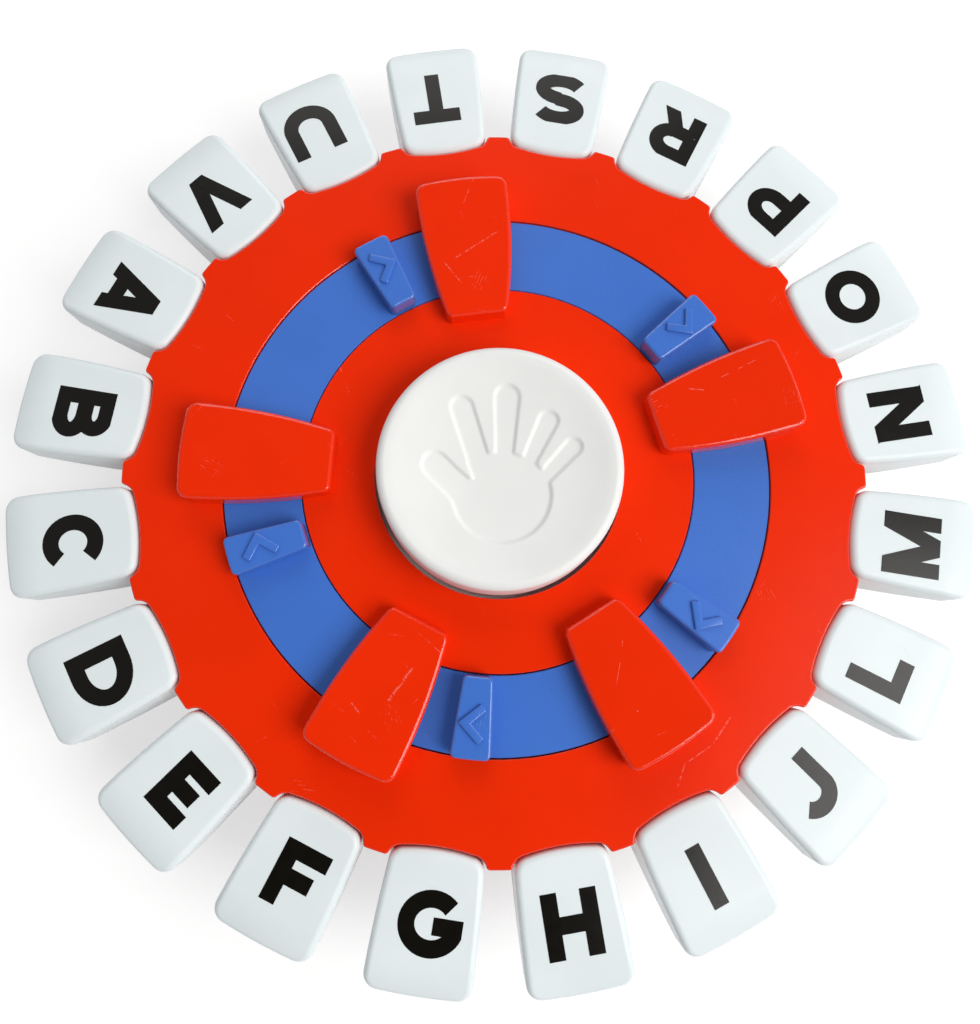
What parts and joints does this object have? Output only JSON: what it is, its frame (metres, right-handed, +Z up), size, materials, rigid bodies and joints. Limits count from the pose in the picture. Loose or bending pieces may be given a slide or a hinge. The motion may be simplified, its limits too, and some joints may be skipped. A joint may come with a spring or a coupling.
{
  "type": "word board game",
  "caption": "Round table-top word game: a red deck ringed by white rocker letter keys, a blue ring that resets them, and a palm button that starts the timer.",
  "frame": {"origin": "centre of the footprint, on the table under the rubber feet", "axes": "+Z up out of the deck, +Y away from the player, +X to the player's right"},
  "size_m": [0.2736, 0.2736, 0.0475],
  "materials": {
    "red_casing": "moulded gloss",
    "blue_ring": "moulded satin",
    "white_keys": "moulded gloss with black letters",
    "white_button": "moulded satin",
    "inner_plastic": "moulded",
    "spring_steel": "drawn wire",
    "board_green": "solder resist",
    "black_parts": "moulded",
    "cell_can": "plain can",
    "contact_plate": "nickel plate",
    "wire_sleeve": "sleeve",
    "screw_steel": "zinc plate",
    "foot_rubber": "moulded rubber"
  },
  "bodies": {
    "casing": {"base_shell": "red_casing", "top_cover": "red_casing", "key_detent_ring": "inner_plastic", "button_spring": "spring_steel", "ring_return_spring": "spring_steel", "circuit_board": "board_green", "timer_chip": "black_parts", "tact_switch": "black_parts", "buzzer": "black_parts", "battery_cells": "cell_can", "battery_contacts": "contact_plate", "battery_wires": "wire_sleeve", "battery_door": "red_casing", "battery_door_screw": "screw_steel", "housing_screws": "screw_steel", "rubber_feet": "foot_rubber"},
    "reset_ring_body": {"reset_ring": "blue_ring"},
    "button_body": {"push_button": "white_button"},
    "key_01_body": {"key_01": "white_keys"},
    "key_02_body": {"key_02": "white_keys"},
    "key_03_body": {"key_03": "white_keys"},
    "key_04_body": {"key_04": "white_keys"},
    "key_05_body": {"key_05": "white_keys"},
    "key_06_body": {"key_06": "white_keys"},
    "key_07_body": {"key_07": "white_keys"},
    "key_08_body": {"key_08": "white_keys"},
    "key_09_body": {"key_09": "white_keys"},
    "key_10_body": {"key_10": "white_keys"},
    "key_11_body": {"key_11": "white_keys"},
    "key_12_body": {"key_12": "white_keys"},
    "key_13_body": {"key_13": "white_keys"},
    "key_14_body": {"key_14": "white_keys"},
    "key_15_body": {"key_15": "white_keys"},
    "key_16_body": {"key_16": "white_keys"},
    "key_17_body": {"key_17": "white_keys"},
    "key_18_body": {"key_18": "white_keys"},
    "key_19_body": {"key_19": "white_keys"},
    "key_20_body": {"key_20": "white_keys"}
  },
  "joints": [
    {"name": "ring_reset_turn", "type": "hinge", "parent": "casing", "child": "reset_ring_body", "pos_m": [0, 0, 0.033], "axis": [0, 0, 1], "range_deg": [-6, 0], "stiffness_Nm_per_rad": 0.5, "springref_deg": 5.73, "deforming": ["ring_return_spring"]},
    {"name": "button_press", "type": "slide", "parent": "casing", "child": "button_body", "axis": [0, 0, 1], "range_m": [-0.004, 0], "stiffness_N_per_m": 400, "springref_m": 0.003, "deforming": ["button_spring"]},
    {"name": "press_key_01", "type": "hinge", "parent": "casing", "child": "key_01_body", "pos_m": [0.01486, 0.09383, 0.022], "axis": [-0.9877, 0.1564, 0], "range_deg": [0, 13]},
    {"name": "press_key_02", "type": "hinge", "parent": "casing", "child": "key_02_body", "pos_m": [0.04313, 0.08465, 0.022], "axis": [-0.891, 0.454, 0], "range_deg": [0, 13]},
    {"name": "press_key_03", "type": "hinge", "parent": "casing", "child": "key_03_body", "pos_m": [0.06717, 0.06717, 0.022], "axis": [-0.7071, 0.7071, 0], "range_deg": [0, 13]},
    {"name": "press_key_04", "type": "hinge", "parent": "casing", "child": "key_04_body", "pos_m": [0.08465, 0.04313, 0.022], "axis": [-0.454, 0.891, 0], "range_deg": [0, 13]},
    {"name": "press_key_05", "type": "hinge", "parent": "casing", "child": "key_05_body", "pos_m": [0.09383, 0.01486, 0.022], "axis": [-0.1564, 0.9877, 0], "range_deg": [0, 13]},
    {"name": "press_key_06", "type": "hinge", "parent": "casing", "child": "key_06_body", "pos_m": [0.09383, -0.01486, 0.022], "axis": [0.1564, 0.9877, 0], "range_deg": [0, 13]},
    {"name": "press_key_07", "type": "hinge", "parent": "casing", "child": "key_07_body", "pos_m": [0.08465, -0.04313, 0.022], "axis": [0.454, 0.891, 0], "range_deg": [0, 13]},
    {"name": "press_key_08", "type": "hinge", "parent": "casing", "child": "key_08_body", "pos_m": [0.06717, -0.06717, 0.022], "axis": [0.7071, 0.7071, 0], "range_deg": [0, 13]},
    {"name": "press_key_09", "type": "hinge", "parent": "casing", "child": "key_09_body", "pos_m": [0.04313, -0.08465, 0.022], "axis": [0.891, 0.454, 0], "range_deg": [0, 13]},
    {"name": "press_key_10", "type": "hinge", "parent": "casing", "child": "key_10_body", "pos_m": [0.01486, -0.09383, 0.022], "axis": [0.9877, 0.1564, 0], "range_deg": [0, 13]},
    {"name": "press_key_11", "type": "hinge", "parent": "casing", "child": "key_11_body", "pos_m": [-0.01486, -0.09383, 0.022], "axis": [0.9877, -0.1564, 0], "range_deg": [0, 13]},
    {"name": "press_key_12", "type": "hinge", "parent": "casing", "child": "key_12_body", "pos_m": [-0.04313, -0.08465, 0.022], "axis": [0.891, -0.454, 0], "range_deg": [0, 13]},
    {"name": "press_key_13", "type": "hinge", "parent": "casing", "child": "key_13_body", "pos_m": [-0.06717, -0.06717, 0.022], "axis": [0.7071, -0.7071, 0], "range_deg": [0, 13]},
    {"name": "press_key_14", "type": "hinge", "parent": "casing", "child": "key_14_body", "pos_m": [-0.08465, -0.04313, 0.022], "axis": [0.454, -0.891, 0], "range_deg": [0, 13]},
    {"name": "press_key_15", "type": "hinge", "parent": "casing", "child": "key_15_body", "pos_m": [-0.09383, -0.01486, 0.022], "axis": [0.1564, -0.9877, 0], "range_deg": [0, 13]},
    {"name": "press_key_16", "type": "hinge", "parent": "casing", "child": "key_16_body", "pos_m": [-0.09383, 0.01486, 0.022], "axis": [-0.1564, -0.9877, 0], "range_deg": [0, 13]},
    {"name": "press_key_17", "type": "hinge", "parent": "casing", "child": "key_17_body", "pos_m": [-0.08465, 0.04313, 0.022], "axis": [-0.454, -0.891, 0], "range_deg": [0, 13]},
    {"name": "press_key_18", "type": "hinge", "parent": "casing", "child": "key_18_body", "pos_m": [-0.06717, 0.06717, 0.022], "axis": [-0.7071, -0.7071, 0], "range_deg": [0, 13]},
    {"name": "press_key_19", "type": "hinge", "parent": "casing", "child": "key_19_body", "pos_m": [-0.04313, 0.08465, 0.022], "axis": [-0.891, -0.454, 0], "range_deg": [0, 13]},
    {"name": "press_key_20", "type": "hinge", "parent": "casing", "child": "key_20_body", "pos_m": [-0.01486, 0.09383, 0.022], "axis": [-0.9877, -0.1564, 0], "range_deg": [0, 13]}
  ]
}
